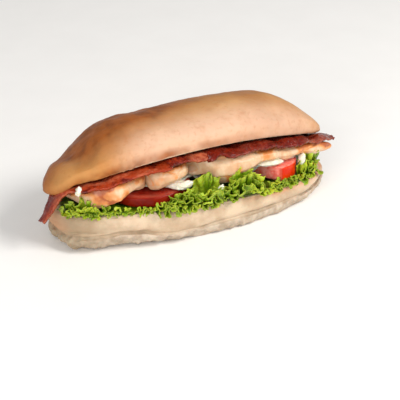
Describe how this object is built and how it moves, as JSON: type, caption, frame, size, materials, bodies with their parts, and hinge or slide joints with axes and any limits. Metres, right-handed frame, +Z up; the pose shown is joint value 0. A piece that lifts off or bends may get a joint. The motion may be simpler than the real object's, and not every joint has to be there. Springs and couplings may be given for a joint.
{
  "type": "bacon, chicken, lettuce and tomato roll",
  "caption": "Long soft bread roll split along its side and filled with bacon rashers, grilled chicken, tomato slices, frilly lettuce and mayonnaise.",
  "frame": {"origin": "on the plane the roll rests on, at the middle of the flat foot of its lower half", "axes": "+X along the roll, +Z up, and the open side with the filling faces -Y"},
  "size_m": [0.2172, 0.0934, 0.078],
  "materials": {
    "pale_crust": "soft, floury cream crust",
    "crust": "smooth golden-brown crust with a soft sheen",
    "lettuce": "moist frilly leaf",
    "tomato": "wet flesh and shiny skin",
    "mayonnaise": "glossy white sauce",
    "chicken": "grilled meat, pale with browned patches",
    "bacon": "fried, greasy and rough"
  },
  "bodies": {
    "root": {"roll_heel": "pale_crust", "roll_crown": "crust", "lettuce_left": "lettuce", "lettuce_middle": "lettuce", "lettuce_right": "lettuce", "tomato_slice_left": "tomato", "tomato_slice_right": "tomato", "mayonnaise": "mayonnaise", "chicken_left": "chicken", "chicken_middle": "chicken", "chicken_right": "chicken", "bacon_left": "bacon", "bacon_middle": "bacon", "bacon_right": "bacon", "bacon_back_left": "bacon", "bacon_back_right": "bacon"}
  },
  "joints": []
}
